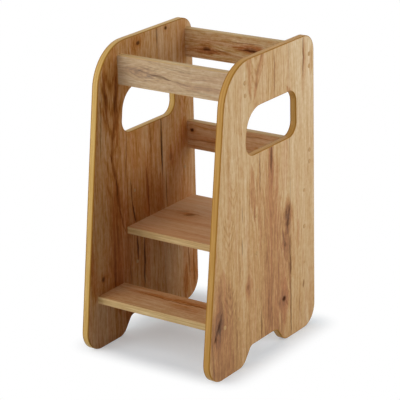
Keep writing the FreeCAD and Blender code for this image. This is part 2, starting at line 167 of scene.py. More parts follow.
class StageSettings(bpy.types.PropertyGroup):
    """Camera, lamps and floor."""

    focal: FloatProperty(name="Focal length", description="Camera lens", default=161.458, min=1, unit="CAMERA")
    distance: length(4.52474, "Distance", "Camera to the point it looks at")
    azimuth: angle(35.3, "Azimuth", "Camera round the stool")
    elevation: angle(19.5415, "Elevation", "Camera above level")
    roll: angle(-1.518, "Roll", "Camera about its own line of sight")
    target: FloatVectorProperty(
        name="Target",
        description="The point the camera looks at",
        default=(0.0638, -0.0784, 0.42043),
        unit="LENGTH",
    )
    floor: colour("#D2DBE3", "Floor", "Matt floor")
    background: colour("#FFFFFF", "Background", "What the camera sees behind the floor")
    ambient: level(0.17, "Ambient", "Strength of the light from all round")
    floor_glow: level(0.295, "Floor glow", "What the camera sees added to the floor beside the stool")
    shadow_edge: length(0.09, "Shadow edge", "How far from the stool its shadow fades out")
    right_lamp: power(39, "Right lamp", "Low lamp at the right")
    left_lamp: power(21, "Left lamp", "Low lamp in front, at the left")
    top_lamp: power(20, "Top lamp", "High lamp in front")
    rear_lamp: power(7, "Rear lamp", "High lamp behind")
    fill_lamp: power(14, "Fill lamp", "Lamp behind, at the left")


SETTINGS = {
    "stool_decor": DecorSettings,
    "stool_bands": BandSettings,
    "stool_covers": CoverSettings,
    "stool_stage": StageSettings,
}

# ---------------------------------------------------------------------------------- node trees


def add_node(tree, kind, *values, output=0, **settings):
    """Adds a node with its settings, fills its inputs in order or by name, and gives one output.

    A kind can end in a dot and an operation. A value that is a socket is linked, and {name: value}
    goes by name."""
    kind, _, operation = kind.partition(".")
    made = tree.nodes.new(kind)
    if operation:
        made.operation = operation
    for setting, chosen in settings.items():
        setattr(made, setting, chosen)
    named = {}
    for place, given in enumerate(values):
        named.update(given if isinstance(given, dict) else {place: given})
    for socket, given in named.items():
        if isinstance(given, bpy.types.NodeSocket):
            tree.links.new(given, made.inputs[socket])
        else:
            made.inputs[socket].default_value = given
    return made.outputs[output] if made.outputs else made


def new_group(name, kind, inputs, outputs):
    """An empty node group with these sockets: what adds a node to it, and its inputs.

    Sockets without a kind are numbers."""
    tree = bpy.data.node_groups.new(name, kind)
    for in_out, sockets in (("INPUT", inputs), ("OUTPUT", outputs)):
        kinds = sockets if isinstance(sockets, dict) else dict.fromkeys(sockets, FLOAT)
        for label, socket in kinds.items():
            tree.interface.new_socket(name=label, in_out=in_out, socket_type=socket)
    return partial(add_node, tree), tree.nodes.new("NodeGroupInput").outputs


def emptied(holder):
    """Clears the nodes of a new material or world, and gives what adds a node to it."""
    holder.use_nodes = True
    holder.node_tree.nodes.clear()
    return partial(add_node, holder.node_tree)


def close_material(add, base, roughness, relief, depth, strength, ior, specular):
    """Ends a board's or a plastic's material in its shader, with relief this deep in metres."""
    bump = add("ShaderNodeBump", {"Height": relief, "Distance": depth, "Strength": strength})
    light = {"IOR": ior, "Specular IOR Level": specular}
    look = {"Base Color": base, "Roughness": roughness, "Normal": bump, **light}
    add("ShaderNodeOutputMaterial", add("ShaderNodeBsdfPrincipled", look))


def fill_ramp(socket, stops, interpolation="LINEAR"):
    """Fills the colour ramp behind this socket with its stops, as (place, red, green, blue)."""
    ramp = socket.node.color_ramp
    ramp.interpolation = interpolation
    while len(ramp.elements) < len(stops):
        ramp.elements.new(0.5)
    for element, (place, *rgb) in zip(ramp.elements, stops):
        element.position = place
        element.color = (*rgb, 1)
    return socket


def fill_switch(socket, number, points):
    """Fills the index switch behind this socket with its number and the points it picks from."""
    switch = socket.node
    while len(switch.index_switch_items) < len(points):
        switch.index_switch_items.new()
    for given, place in zip((number, *points), switch.inputs):
        switch.id_data.links.new(given, place)
    return switch.outputs[0]


# ------------------------------------------------------------------------------- oak decor, in mm


def streaks(add, across, along, seed, wide, long, detail=2.0, roughness=0.5):
    """Noise about 0, drawn out along the grain: this many mm wide and long."""
    u = add(MULTIPLY, across, 1 / wide)
    v = add(MULTIPLY, along, 1 / long)
    place = add(COMBINE, u, v, seed)
    grain = {"Vector": place, "Scale": 1.0, "Detail": detail, "Roughness": roughness}
    cloud = add("ShaderNodeTexNoise", grain)
    return add(SUBTRACT, cloud, 0.5)


def knot_group():
    """A knot in the print: its dark middle, its halo, and how far it pushes the grain aside."""
    names = ("Across", "Along", "Lobes", "Centre across", "Centre along", "Radius", "Stretch")
    add, given = new_group("Knot", "ShaderNodeTree", names, ("Middle", "Halo", "Push"))
    off = add(SUBTRACT, given["Across"], given["Centre across"])
    down = add(SUBTRACT, given["Along"], given["Centre along"])
    down = add(DIVIDE, down, given["Stretch"])
    square = add(MULTIPLY, off, off)
    square = add(MULTIPLY_ADD, down, down, square)
    reach = add(SQRT, square)
    reach = add(DIVIDE, reach, given["Radius"])
    # The middle is dark out to 0.35 radii and ends at 1, the halo reaches 2.8
    ragged = add(MULTIPLY_ADD, given["Lobes"], 1.5, 1.0)
    ragged = add(MULTIPLY, reach, ragged)
    middle = add(RANGE, ragged, 0.35, 1.0, 1.0, 0.0, **SMOOTH)
    halo = add(RANGE, ragged, 0.6, 2.8, 1.0, 0.0, **SMOOTH)
    # The grain is pushed aside most at the knot's own edge
    fade = add(MULTIPLY, reach, reach)
    fade = add(MULTIPLY_ADD, fade, 0.5, 1.0)
    push = add(DIVIDE, off, fade)
    push = add(MULTIPLY, push, -0.85)
    add("NodeGroupOutput", middle, halo, push)


def crack_group():
    """A crack, or with soft feathered sides a flame of darker wood or a patch of painted shade, between two points.
    """
    names = ("Across", "Along", "Feather", "Low across", "Low along", "High across", "High along", "Width")
    add, given = new_group("Crack", "ShaderNodeTree", names, ("Mask",))
    share = add(RANGE, given["Along"], given["Low along"], given["High along"], 0.0, 1.0)
    middle = add(RANGE, share, 0.0, 1.0, given["Low across"], given["High across"])
    off = add(SUBTRACT, given["Across"], middle)
    off = add(ABSOLUTE, off)
    # It reaches half its width to each side in the middle, and runs to a point at both ends
    ends = add(SUBTRACT, 1.0, share)
    ends = add(MULTIPLY, ends, share)
    ends = add(MULTIPLY, ends, 2.0)
    # Never quite 0, so that it can divide
    width = add(MULTIPLY_ADD, ends, given["Width"], 0.001)
    off = add(DIVIDE, off, width)
    off = add(ADD, off, given["Feather"])
    mask = add(RANGE, off, 0.1, 1.0, 1.0, 0.0, **SMOOTH)
    add("NodeGroupOutput", mask)


def arch_group():
    """Nested arches of grain, as where a board is cut across the top of a growth ring."""
    names = ("Across", "Along", "Feather", "Centre across", "Centre along", "Half width", "Half length", "Pitch")
    add, given = new_group("Arches", "ShaderNodeTree", names, ("Mask",))
    off = add(SUBTRACT, given["Across"], given["Centre across"])
    off = add(DIVIDE, off, given["Half width"])
    up = add(SUBTRACT, given["Along"], given["Centre along"])
    down = add(DIVIDE, up, given["Half length"])
    square = add(MULTIPLY, off, off)
    window = add(MULTIPLY_ADD, down, down, square)
    window = add(RANGE, window, 0.3, 1.0, 1.0, 0.0, **SMOOTH)
    # The sides of an arch fall by 1.1 half lengths where they reach the half width, and 0.03 rounds its top
    bow = add(ADD, square, 0.03)
    bow = add(SQRT, bow)
    bow = add(MULTIPLY, bow, given["Half length"])
    ring = add(MULTIPLY_ADD, bow, -1.1, up)
    ring = add(DIVIDE, ring, given["Pitch"])
    ring = add(MULTIPLY_ADD, given["Feather"], 1.2, ring)
    ring = add(MULTIPLY, ring, math.tau)
    ring = add(SINE, ring)
    ring = add(RANGE, ring, -0.1, 1.0, 0.0, 1.0, **SMOOTH)
    add("NodeGroupOutput", add(MULTIPLY, ring, window))


# From growth ring to growth ring
RING_PITCH = 7.5


def grain_group(decor):
    """Oak as it is printed on melamine board: streaks, growth rings, flames, pores, and two tones of wood."""
    names = ("Across", "Along", "Seed", "Tone", "Redness", "Heart", "Taper", "Rings", "Flames", "Contrast", "Dark")
    made = {"Colour": "NodeSocketColor", "Relief": FLOAT, "Roughness": FLOAT}
    add, given = new_group("Oak grain", "ShaderNodeTree", names, made)
    along = given["Along"]

    def noise(across, shift, *size):
        return streaks(add, across, along, add(ADD, given["Seed"], shift), *size)

    def patchy(mask, shift, low, amount, *size):
        """Lets a mask show by this amount, in patches."""
        patch = noise(given["Across"], shift, *size, 1.0)
        patch = add(RANGE, patch, low, 0.12, 0.0, amount)
        return add(MULTIPLY, mask, patch)

    # The grain wanders over a hand's breadth, and wavers over a finger's
    across = given["Across"]
    for shift, reach, *size in ((0.0, 24.0, 80, 240), (1.0, 5.0, 14, 52)):
        bend = noise(given["Across"], shift, *size)
        across = add(MULTIPLY_ADD, bend, reach, across)
    # Broad bands of tone, the streaks between them, fine grain, and flecks across the grain. The fine
    # grain is 2.8 mm wide where real oak shows half that, so that it still shows in the render.
    streaked = 0.0
    for weight, shift, *size in (
        (0.42, 3.0, 22, 600, 2.0, 0.6),
        (0.50, 7.0, 6, 200, 3.0, 0.6),
        (0.66, 11.0, 2.8, 60, 2.0, 0.65),
        (0.42, 13.0, 8, 15, 3.0, 0.6),
    ):
        streaked = add(MULTIPLY_ADD, noise(across, shift, *size), weight, streaked)
    total = add(ADD, given["Tone"], 0.5)
    total = add(MULTIPLY_ADD, streaked, given["Contrast"], total)
    # Growth rings, cut at a slant: arches over the heart of the plank and straight lines beside it. The
    # tree's axis lies 12 mm below the face, and the rings waver over 34 by 130 mm.
    off = add(SUBTRACT, across, given["Heart"])
    square = add(MULTIPLY_ADD, off, off, 150.0)
    radius = add(SQRT, square)
    radius = add(MULTIPLY_ADD, along, given["Taper"], radius)
    radius = add(MULTIPLY_ADD, noise(given["Across"], 19.0, 34, 130), 16.0, radius)
    phase = add(MULTIPLY, radius, math.tau / RING_PITCH)
    ring = add(SINE, phase)
    ring = add(RANGE, ring, -0.2, 1.0, 0.0, 1.0, **SMOOTH)
    ring = patchy(ring, 23.0, -0.1, given["Rings"], 45, 190)
    total = add(SUBTRACT, total, ring)
    # Flames of dark heartwood, in patches
    flame = noise(across, 37.0, 6.5, 130, 3.0, 0.65)
    flame = add(RANGE, flame, 0.04, 0.22, 0.0, 1.0)
    flame = patchy(flame, 41.0, -0.06, given["Flames"], 55, 210)
    total = add(MULTIPLY_ADD, flame, -0.34, total)
    # Pores: dark dashes 0.8 mm wide and about 9 mm long
    pores = noise(across, 29.0, 0.8, 9, 1.0)
    pores = add(RANGE, pores, 0.1, 0.24, 0.0, 1.0)
    total = add(MULTIPLY_ADD, pores, -0.12, total)
    stops = zip((0.02, 0.26, 0.5, 0.72, 0.96), (decor.deep, decor.brown, decor.golden, decor.light, decor.pale))
    golden = fill_ramp(add("ShaderNodeValToRGB", total), [(place, *tint) for place, tint in stops])
    stops = zip((0.05, 0.46, 0.95), (decor.red_deep, decor.red, decor.red_pale))
    reddish = fill_ramp(add("ShaderNodeValToRGB", total), [(place, *tint) for place, tint in stops])
    hue = noise(across, 31.0, 9, 260, 2.0, 0.6)
    hue = add(RANGE, hue, -0.08, 0.16, -0.15, 0.4)
    hue = add(MULTIPLY_ADD, flame, 0.5, hue)
    hue = add(ADD, hue, given["Redness"], use_clamp=True)
    shade = add("ShaderNodeMix", {0: hue, 6: golden, 7: reddish}, **COLOURS)
    relief = add(MAXIMUM, pores, given["Dark"])
    relief = add(SUBTRACT, 1.0, relief)
    roughness = add(RANGE, relief, 0.0, 1.0, 0.66, 0.5)
    add("NodeGroupOutput", shade, relief, roughness)


# The print on each board, in mm. Each row starts with its places, across the grain before along it.
# taper, rings, flames, contrast: how the growth rings open, how strong they and the flames are, and the streaks.
# fade: painted light and shade, how much the tone and the redness grow in 1 mm along the grain; the right panel
# grows lighter towards the top as painted sheen, the left panel redder towards the bottom as painted shade.
# The wash: how far the print is washed towards a pale grey painted sheen, on lit outer faces, or towards a deep
# warm painted shade, on inner faces.
# planks: where one ends across the grain, its tone, its redness, and the heart of its rings.
# seams: where a dark line shows between two planks.
# flames_at: low end, high end, width, tone, redness, with feathered sides. One on the left panel is painted shade,
# not darker wood.
# cracks: low end, high end, width, tone, redness, darkness.
# knots: middle, radius, stretch along the grain, darkness, tone and redness of the halo, push on the grain.
# arches: middle, half width, half length, from ring to ring, tone.
PRINTS = {
    "right_side_panel": {
        "taper": -0.05, "rings": 0.05, "flames": 0.22, "contrast": 0.78,
        "fade": (0.00024, -0.0002), "painted_light_wash": (0.12, "limed"),
        "planks": [
            (-140, 0.05, -0.1, -190), (-62, 0.09, -0.12, -100), (2, 0.07, 0.0, -30), (76, 0.07, 0.02, 60),
            (131, 0.1, 0.0, 60), (186, 0.16, -0.05, 160), (300, 0.17, -0.05, 260),
        ],
        "seams": [131],
        "flames_at": [
            (38, -160, 42, 600, 160, -0.13, 0.5), (96, 20, 110, 330, 90, -0.05, 0.3),
            (-34, 370, -46, 530, 44, -0.17, 0.6), (-190, -160, -182, 300, 210, -0.1, 0.5),
            (-44, 690, -60, 860, 44, -0.17, 0.5), (-30, 690, 26, 860, 34, -0.15, 0.5),
            (58, 640, 62, 820, 26, -0.1, 0.4), (100, 400, 108, 570, 70, -0.03, 0.3),
            (196, 620, 204, 840, 30, -0.14, 0.5), (-10, 280, -12, 420, 26, -0.08, 0.3),
            (-70, 165, -64, 245, 50, -0.07, 0.35), (166, 230, 172, 320, 34, -0.06, 0.3),
            (112, 215, 120, 405, 96, -0.16, 0.3), (118, 290, 120, 390, 60, -0.1, 0.15),
            (128, 130, 126, 285, 44, -0.14, 0.15), (44, 430, 44, 600, 34, -0.12, 0.5),
            (236, 690, 238, 770, 30, -0.16, 0.3), (150, 640, 120, 690, 40, -0.16, 0.4),
            (-208, 90, -190, 215, 66, -0.08, 0.2), (100, 40, 104, 180, 70, -0.08, 0.5),
        ],
        "cracks": [
            (-12, 40, -11, 132, 8, 0.0, 0.2, 0.55), (42, 480, 45, 556, 17, -0.1, 0.5, 0.5),
            (-93, 300, -95, 350, 7, 0.0, 0.0, 0.5), (-90, 385, -92, 435, 6, 0.0, 0.0, 0.4),
            (197, 690, 199, 810, 10, -0.1, 0.5, 0.5), (62, 670, 63, 800, 8, 0.0, 0.3, 0.35),
            (-8, 440, -10, 555, 8, 0.0, 0.3, 0.45), (192, 115, 197, 140, 14, -0.1, 0.3, 0.4),
            (116, 306, 128, 366, 16, -0.08, 0.3, 0.2), (131, 172, 130, 232, 16, -0.1, 0.2, 0.4),
            (131, -10, 131, 172, 8, -0.1, 0.2, 0.5), (-226, 108, -204, 156, 18, -0.1, 0.2, 0.36),
            (-208, 136, -188, 186, 15, -0.1, 0.2, 0.34), (106, 112, 116, 92, 12, -0.1, 0.4, 0.2),
            (20, 60, 24, 190, 6, -0.05, 0.3, 0.25), (175, 40, 173, 100, 8, -0.05, 0.3, 0.25),
        ],
        "knots": [
            (98, 118, 11, 0.9, 0.95, -0.1, 0.5, 1.2), (-202, 152, 11, 1.6, 0.3, -0.06, 0.2, 1.2),
            (-218, 118, 9, 1.4, 0.4, -0.06, 0.2, 0.6), (110, 352, 10, 1.5, 0.34, -0.05, 0.2, 0.8),
            (126, 360, 9, 1.9, 0.34, -0.05, 0.2, 0.4), (118, 322, 10, 1.7, 0.38, -0.05, 0.2, 0.8),
            (108, 296, 8, 1.3, 0.26, -0.04, 0.2, 0.4), (106, 266, 9, 1.0, 0.3, -0.08, 0.3, 0.6),
            (-70, 208, 7, 1.4, 0.3, -0.06, 0.3, 0.6),
        ],
        "arches": [
            (-152, 380, 34, 60, 24, -0.12), (-18, 770, 38, 70, 34, -0.12), (-150, 190, 34, 56, 24, -0.1),
            (-128, 470, 24, 40, 20, -0.1),
        ],
    },
    "left_side_panel": {
        "taper": 0.07, "rings": 0.03, "flames": 0.5, "contrast": 1.0,
        "fade": (0.00002, -0.0007), "painted_light_wash": (0.26, "stained"),
        "planks": [
            (-140, 0.1, 0.15, -180), (-58, 0.06, 0.25, -100), (4, 0.06, 0.25, -48), (96, 0.12, 0.2, 40),
            (178, 0.17, 0.15, 140), (300, 0.13, 0.3, 215),
        ],
        "seams": [96],
        "flames_at": [
            (-112, 60, -104, 440, 130, -0.14, 0.5), (-96, 520, -84, 740, 44, -0.16, 0.4),
            (-142, 540, -132, 800, 34, -0.16, 0.4), (26, 280, 34, 480, 70, -0.14, 0.25),
            (52, 420, 44, 560, 30, -0.12, 0.2), (82, 285, 88, 405, 50, -0.1, 0.25),
            (-64, 0, -78, 140, 70, -0.14, 0.5), (144, 400, 136, 470, 30, -0.1, 0.4),
            # The flame from (176, 420) to (204, 530) is painted shade, where the rear middle rail shades the inner
            # face
            (176, 420, 204, 530, 70, -0.12, 0.3), (188, 0, 196, 110, 40, -0.16, 0.6),
            (226, 0, 232, 150, 40, -0.18, 0.6), (-212, 130, -222, 330, 46, -0.14, 0.5),
            (20, 110, 16, 262, 60, -0.08, 0.2), (-182, 160, -190, 420, 70, 0.06, -0.2),
            (62, 430, 20, 562, 90, 0.06, 0.0), (130, 60, 150, 300, 240, 0.08, 0.0),
            (60, 690, 80, 830, 100, 0.08, -0.1), (-6, 750, 20, 820, 80, -0.05, 0.3),
            (150, 560, 160, 640, 60, 0.05, 0.0), (-180, -100, -190, 150, 220, 0.15, 0.1),
        ],
        "cracks": [
            (97, 388, 98, 562, 13, 0.0, 0.2, 0.85), (-72, 280, -96, 356, 12, -0.15, 0.4, 0.3),
            (-92, 335, -106, 445, 20, -0.15, 0.4, 0.26), (-100, 415, -124, 515, 20, -0.15, 0.4, 0.26),
            (-122, 485, -108, 585, 20, -0.15, 0.4, 0.22), (-106, 560, -86, 720, 26, -0.16, 0.4, 0.18),
            (-128, 585, -144, 740, 24, -0.16, 0.4, 0.18), (-28, 296, -40, 360, 11, 0.0, 0.2, 0.85),
            (-40, 350, -44, 424, 9, 0.0, 0.2, 0.6), (-22, 186, -25, 262, 12, 0.0, 0.2, 0.85),
            (1, 98, 8, 250, 13, 0.0, 0.2, 0.9), (-128, 130, -120, 310, 16, -0.1, 0.4, 0.16),
            (113, 296, 112, 400, 8, 0.0, 0.3, 0.55), (91, 740, 93, 820, 9, 0.0, 0.2, 0.6),
            (212, 60, 204, 170, 12, -0.1, 0.5, 0.4), (34, 300, 26, 440, 14, -0.1, 0.3, 0.35),
            (-66, 420, -52, 560, 9, 0.0, 0.3, 0.4), (-166, 500, -150, 700, 9, 0.0, 0.3, 0.4),
            (234, 20, 228, 120, 11, -0.1, 0.5, 0.45), (50, 440, 48, 556, 8, 0.0, 0.3, 0.35),
            (-60, 110, -54, 230, 8, 0.0, 0.3, 0.35),
        ],
        "knots": [
            (10, 777, 11, 0.7, 0.8, -0.1, 0.2, 1.0), (132, 790, 8, 0.8, 0.8, -0.08, 0.2, 0.8),
            (-176, 186, 9, 1.1, 0.75, -0.08, 0.4, 0.8), (137, 434, 10, 1.8, 0.3, -0.08, 0.4, 0.8),
            (58, 724, 6, 1.0, 0.5, -0.08, 0.3, 0.5),
        ],
        "arches": [(-112, 650, 56, 130, 66, -0.22), (-116, 470, 50, 110, 60, -0.14), (206, 590, 30, 60, 36, -0.16)],
    },
    "front_top_rail": {
        "taper": 0.09, "rings": 0.06, "flames": 0.35, "contrast": 1.5, "painted_light_wash": (0.42, "limed"),
        "planks": [(790, 0.06, 0.05, 712)],
        "flames_at": [
            (738, -190, 730, -40, 30, -0.14, 0.2), (712, 0, 716, 190, 26, -0.1, 0.2),
            (700, -160, 704, -20, 16, 0.06, 0.0),
        ],
        "cracks": [
            (729, -80, 722, -14, 12, -0.1, 0.1, 0.5), (735, -120, 729, -70, 8, -0.1, 0.0, 0.2),
            (746, -130, 738, -50, 7, 0.0, 0.1, 0.2), (724, -30, 712, 50, 7, 0.0, 0.1, 0.22),
            (704, 20, 700, 120, 7, 0.0, 0.1, 0.18), (752, -60, 748, 60, 6, 0.0, 0.1, 0.18),
        ],
        "knots": [(730, -112, 10, 2.4, 0.12, -0.05, 0.1, 1.6)],
        "arches": [(730, -90, 30, 90, 26, -0.14)],
    },
    "rear_top_rail": {
        "taper": 0.09, "rings": 0.06, "flames": 0.5, "contrast": 1.0,
        "planks": [(728, 0.12, 0.15, 700), (800, 0.14, 0.15, 760)],
        "flames_at": [(738, -30, 742, 100, 30, -0.14, 0.5), (716, -190, 718, -30, 26, -0.1, 0.3)],
        "cracks": [
            (735, -6, 732, 66, 9, -0.1, 0.4, 0.6), (718, -160, 722, -30, 5, 0.0, 0.3, 0.35),
            (750, -50, 754, 70, 5, 0.0, 0.5, 0.3),
        ],
        "knots": [(722, -112, 8, 2.0, 0.6, -0.1, 0.4, 0.8), (738, 28, 7, 4.0, 0.4, -0.1, 0.5, 0.8)],
    },
    "rear_middle_rail": {
        "taper": 0.09, "rings": 0.06, "flames": 0.4, "contrast": 1.0, "painted_light_wash": (0.34, "stained"),
        "planks": [(470, 0.3, 0.35, 455), (520, 0.32, 0.35, 495)],
        "flames_at": [(466, -190, 470, -30, 26, -0.1, 0.4)],
        "cracks": [(462, -180, 466, -50, 5, 0.0, 0.5, 0.35), (497, -70, 500, 90, 5, 0.0, 0.5, 0.3)],
        "knots": [(489, -166, 7, 1.2, 0.95, -0.1, 0.4, 0.8)],
    },
    "standing_platform": {
        "taper": 0.06, "rings": 0.06, "flames": 0.35, "contrast": 0.68, "painted_light_wash": (0.42, "stained"),
        "planks": [
            (-34, 0.41, 0.5, -60), (40, 0.43, 0.35, 10), (104, 0.4, 0.45, 70), (170, 0.44, 0.25, 150),
            (300, 0.44, 0.35, 220),
        ],
        "flames_at": [(40, -180, 46, 40, 30, -0.1, 0.4), (-20, -80, -26, 130, 26, -0.08, 0.4)],
        "cracks": [(80, -110, 112, -70, 18, -0.1, 0.2, 0.2)],
        "knots": [(94, -92, 16, 1.2, 0.3, -0.1, 0.2, 1.2), (110, -122, 10, 2.0, 0.16, -0.1, 0.3, 0.6)],
    },
    "lower_step": {
        "taper": 0.06, "rings": 0.07, "flames": 0.6, "contrast": 0.85, "painted_light_wash": (0.28, "stained"),
        "planks": [(-168, 0.25, 0.25, -190), (-128, 0.24, 0.4, -150), (0, 0.2, 0.55, -104)],
        "flames_at": [(-124, -150, -112, 80, 36, -0.13, 0.6), (-112, 0, -120, 170, 26, -0.13, 0.6)],
        "cracks": [(-118, -110, -128, 30, 9, -0.12, 0.5, 0.3), (-130, 0, -118, 110, 8, -0.12, 0.5, 0.45)],
        "knots": [(-150, 60, 9, 3.0, 0.15, -0.1, 0.4, 0.8)],
        "arches": [(-118, 60, 24, 80, 26, -0.12)],
    },
}
# The axes across the grain, along it and through the board, for each way that the grain runs
UPRIGHT, ACROSS_RAIL, ACROSS_TREAD = ("Y", "Z", "X"), ("Z", "X", "Y"), ("Y", "X", "Z")
# All planks end within this many mm of 0 on the axis across the grain
SPREAD = {UPRIGHT: 400.0, ACROSS_RAIL: 1000.0, ACROSS_TREAD: 400.0}
# The height that the painted light and shade along the panels count from, and how far a seam's line fades out on
# each side
PAINTED_SLOPE_FROM, SEAM = 400.0, 1.6


def decor_material(board, axes, decor):
    """Melamine-faced chipboard, press-printed oak: a satin sheet whose pores are faintly embossed.

    PRINTS describes the face that shows in the photograph. The other face carries the same print
    turned end for end."""
    made = bpy.data.materials.new(f"melamine_oak_{board}")
    add = emptied(made)
    groups = bpy.data.node_groups
    pattern = PRINTS[board]
    place = add("ShaderNodeTexCoord", output=3)
    place = add(VECTOR, place, {3: 1 / MM}, operation="SCALE")
    parts = add(SEPARATE, place).node.outputs
    across, along, depth = (parts[axis] for axis in axes)
    lowest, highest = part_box(board)
    ends = [(lowest["XYZ".index(axis)] + highest["XYZ".index(axis)]) / MM for axis in axes]
    # A panel's +X face, a rail's front and a tread's top show
    sign = -1.0 if axes == ACROSS_RAIL else 1.0
    turned = add(SUBTRACT, depth, ends[2] / 2)
    turned = add(MULTIPLY, turned, sign)
    turned = add(LESS_THAN, turned, 0.0)
    sockets = []
    for both, socket in zip(ends, (across, along)):
        other = add(SUBTRACT, both, socket)
        sockets.append(add("ShaderNodeMix", {0: turned, 2: socket, 3: other}, data_type="FLOAT"))
    across, along = sockets
    spread = SPREAD[axes]
    scaled = add(RANGE, across, -spread, spread, 0.0, 1.0)

    def share(place):
        return (place + spread) / (2 * spread)

    stops, edge = [], -spread
    for end, tone, red, heart in pattern["planks"]:
        stops.append((share(edge), 0.5 + tone, 0.5 + red, share(heart)))
        edge = end
    plank = fill_ramp(add("ShaderNodeValToRGB", scaled), stops, "CONSTANT")
    plank = add("ShaderNodeSeparateColor", plank).node.outputs
    totals = {name: add(SUBTRACT, plank[n], 0.5) for n, name in enumerate(("tone", "red"))}
    totals.update(dark=0.0, push=0.0)

    def lay(mask, **weights):
        """Adds a mark to these totals, each by its weight."""
        for name, weight in weights.items():
            totals[name] = add(MULTIPLY_ADD, mask, weight, totals[name])

    # Painted light and shade: tone and redness change steadily with height
    if "fade" in pattern:
        tone, red = pattern["fade"]
        lay(add(SUBTRACT, along, PAINTED_SLOPE_FROM), tone=tone, red=red)
    heart = add(RANGE, plank[2], 0.0, 1.0, -spread, spread)
    # Each plank and each face draws its own noise
    seed = add(MULTIPLY, plank[2], 97.0)
    seed = add(MULTIPLY_ADD, turned, 13.0, seed)
    # What all marks share: cracks waver over 32 mm, flames are feathered in lines 2.4 mm wide, and
    # a knot's outline has lobes of 9 mm
    waver = streaks(add, across, along, 3.0, 60, 32)
    waver = add(MULTIPLY_ADD, waver, 8.0, across)
    feather = streaks(add, across, along, 5.0, 2.4, 46, 3.0, 0.65)
    lobes = streaks(add, across, along, 8.0, 9, 11, 4.0, 0.65)
    for *place, dark, tone, red, push in pattern["knots"]:
        knot = add(GROUP, across, along, lobes, *place, node_tree=groups["Knot"]).node.outputs
        lay(knot["Middle"], dark=dark)
        lay(knot["Halo"], tone=tone, red=red)
        lay(knot["Push"], push=push)
    for marks, soft in (("cracks", 0.9), ("flames_at", 2.6)):
        edges = add(MULTIPLY, feather, soft)
        for row in pattern[marks]:
            mask = add(GROUP, waver, along, edges, *row[:5], node_tree=groups["Crack"])
            lay(mask, **dict(zip(("tone", "red", "dark"), row[5:])))
    for *place, tone in pattern.get("arches", ()):
        lay(add(GROUP, waver, along, feather, *place, node_tree=groups["Arches"]), tone=tone)
    if "seams" in pattern:
        lines = [(edge + off, shade) for edge in pattern["seams"] for off, shade in ((-SEAM, 0), (0, 1), (SEAM, 0))]
        stops = [(share(place), shade, shade, shade) for place, shade in lines]
        seam = fill_ramp(add("ShaderNodeValToRGB", scaled), stops)
        # A seam between two printed planks comes and goes over some 90 mm
        here = streaks(add, seed, along, 2.0, 1, 90)
        here = add(RANGE, here, -0.1, 0.15, 0.05, 0.6)
        lay(seam, dark=here)
    dark = add(MULTIPLY, totals["dark"], 1.0, use_clamp=True)
    bent = add(ADD, across, totals["push"])
    given = [bent, along, seed, totals["tone"], totals["red"], heart]
    given += [pattern[name] for name in ("taper", "rings", "flames", "contrast")]
    grain = add(GROUP, *given, dark, node_tree=groups["Oak grain"]).node.outputs
    shade = grain["Colour"]
    # Painted light: the print is washed towards a pale painted sheen on lit faces, or towards a warm painted shade
    # on inner faces
    if "painted_light_wash" in pattern:
        amount, name = pattern["painted_light_wash"]
        tint = (*getattr(decor, name), 1)
        shade = add("ShaderNodeMix", {0: amount, 6: shade, 7: tint}, **COLOURS)
    shade = add("ShaderNodeMix", {0: dark, 6: shade, 7: (*decor.mark, 1)}, **COLOURS)
    # Embossed 0.05 mm deep in the press
    close_material(add, shade, grain["Roughness"], grain["Relief"], 0.00005, 0.6, ior=1.5, specular=0.03)
    return made


def band_material(kind, bands, light, dark, body):
    """ABS edge band: printed on its face, bare dyed plastic where the arrises are milled round."""
    add = emptied(bpy.data.materials.new(f"abs_edge_band_{kind}"))
    place = add("ShaderNodeAttribute", attribute_name="band_place", output=1)
    parts = add(SEPARATE, place).node.outputs
    # Streaks along the band, which is the first axis: 150 mm long by 4.5 mm wide, and 60 mm by 1.3 mm
    broad = streaks(add, parts[0], parts[1], 0.0, 150, 4.5)
    fine = streaks(add, parts[0], parts[1], 0.0, 60, 1.3)
    grain = add(MULTIPLY_ADD, fine, 0.6, broad)
    grain = add(RANGE, grain, -0.25, 0.25, 0.0, 1.0)
    shade = fill_ramp(add("ShaderNodeValToRGB", grain), [(0.0, *dark), (1.0, *light)])
    # The milling cutter takes the print off up to 3 mm in from each side, with a soft edge 0.9 mm wide
    edge = add(ABSOLUTE, parts[1])
    start = (bands.board / 2 - 2 * bands.arris) / MM
    bare = add(RANGE, edge, start - 0.4, start + 0.5, 0.0, 1.0)
    # On the side panels' bands this bare plastic is dark partly from its own dye and partly as painted shade on the
    # arrises
    shade = add("ShaderNodeMix", {0: bare, 6: shade, 7: (*body, 1)}, **COLOURS)
    roughness = add(RANGE, bare, 0.0, 1.0, 0.42, 0.5)
    close_material(add, shade, roughness, grain, 0.00004, 0.5, ior=1.53, specular=0.08)


def cover_material(covers):
    """Injection-moulded polyethylene cap, dyed to the oak: matt, with a fine spark-eroded skin."""
    add = emptied(bpy.data.materials.new("moulded_polyethylene_covers"))
    place = add("ShaderNodeTexCoord", output=3)
    # Skin of 0.5 mm grit, and a slow change of the dye over 3 mm
    skin = add("ShaderNodeTexNoise", {"Vector": place, "Scale": 1 / 0.0005, "Detail": 2.0})
    dye = add("ShaderNodeTexNoise", {"Vector": place, "Scale": 1 / 0.003, "Detail": 2.0})
    stops = [(0.35, *(0.86 * part for part in covers.plastic)), (0.65, *covers.plastic)]
    shade = fill_ramp(add("ShaderNodeValToRGB", dye), stops)
    roughness = add(RANGE, skin, 0.3, 0.7, 0.48, 0.58)
    close_material(add, shade, roughness, skin, 0.00003, 0.5, ior=1.51, specular=0.3)


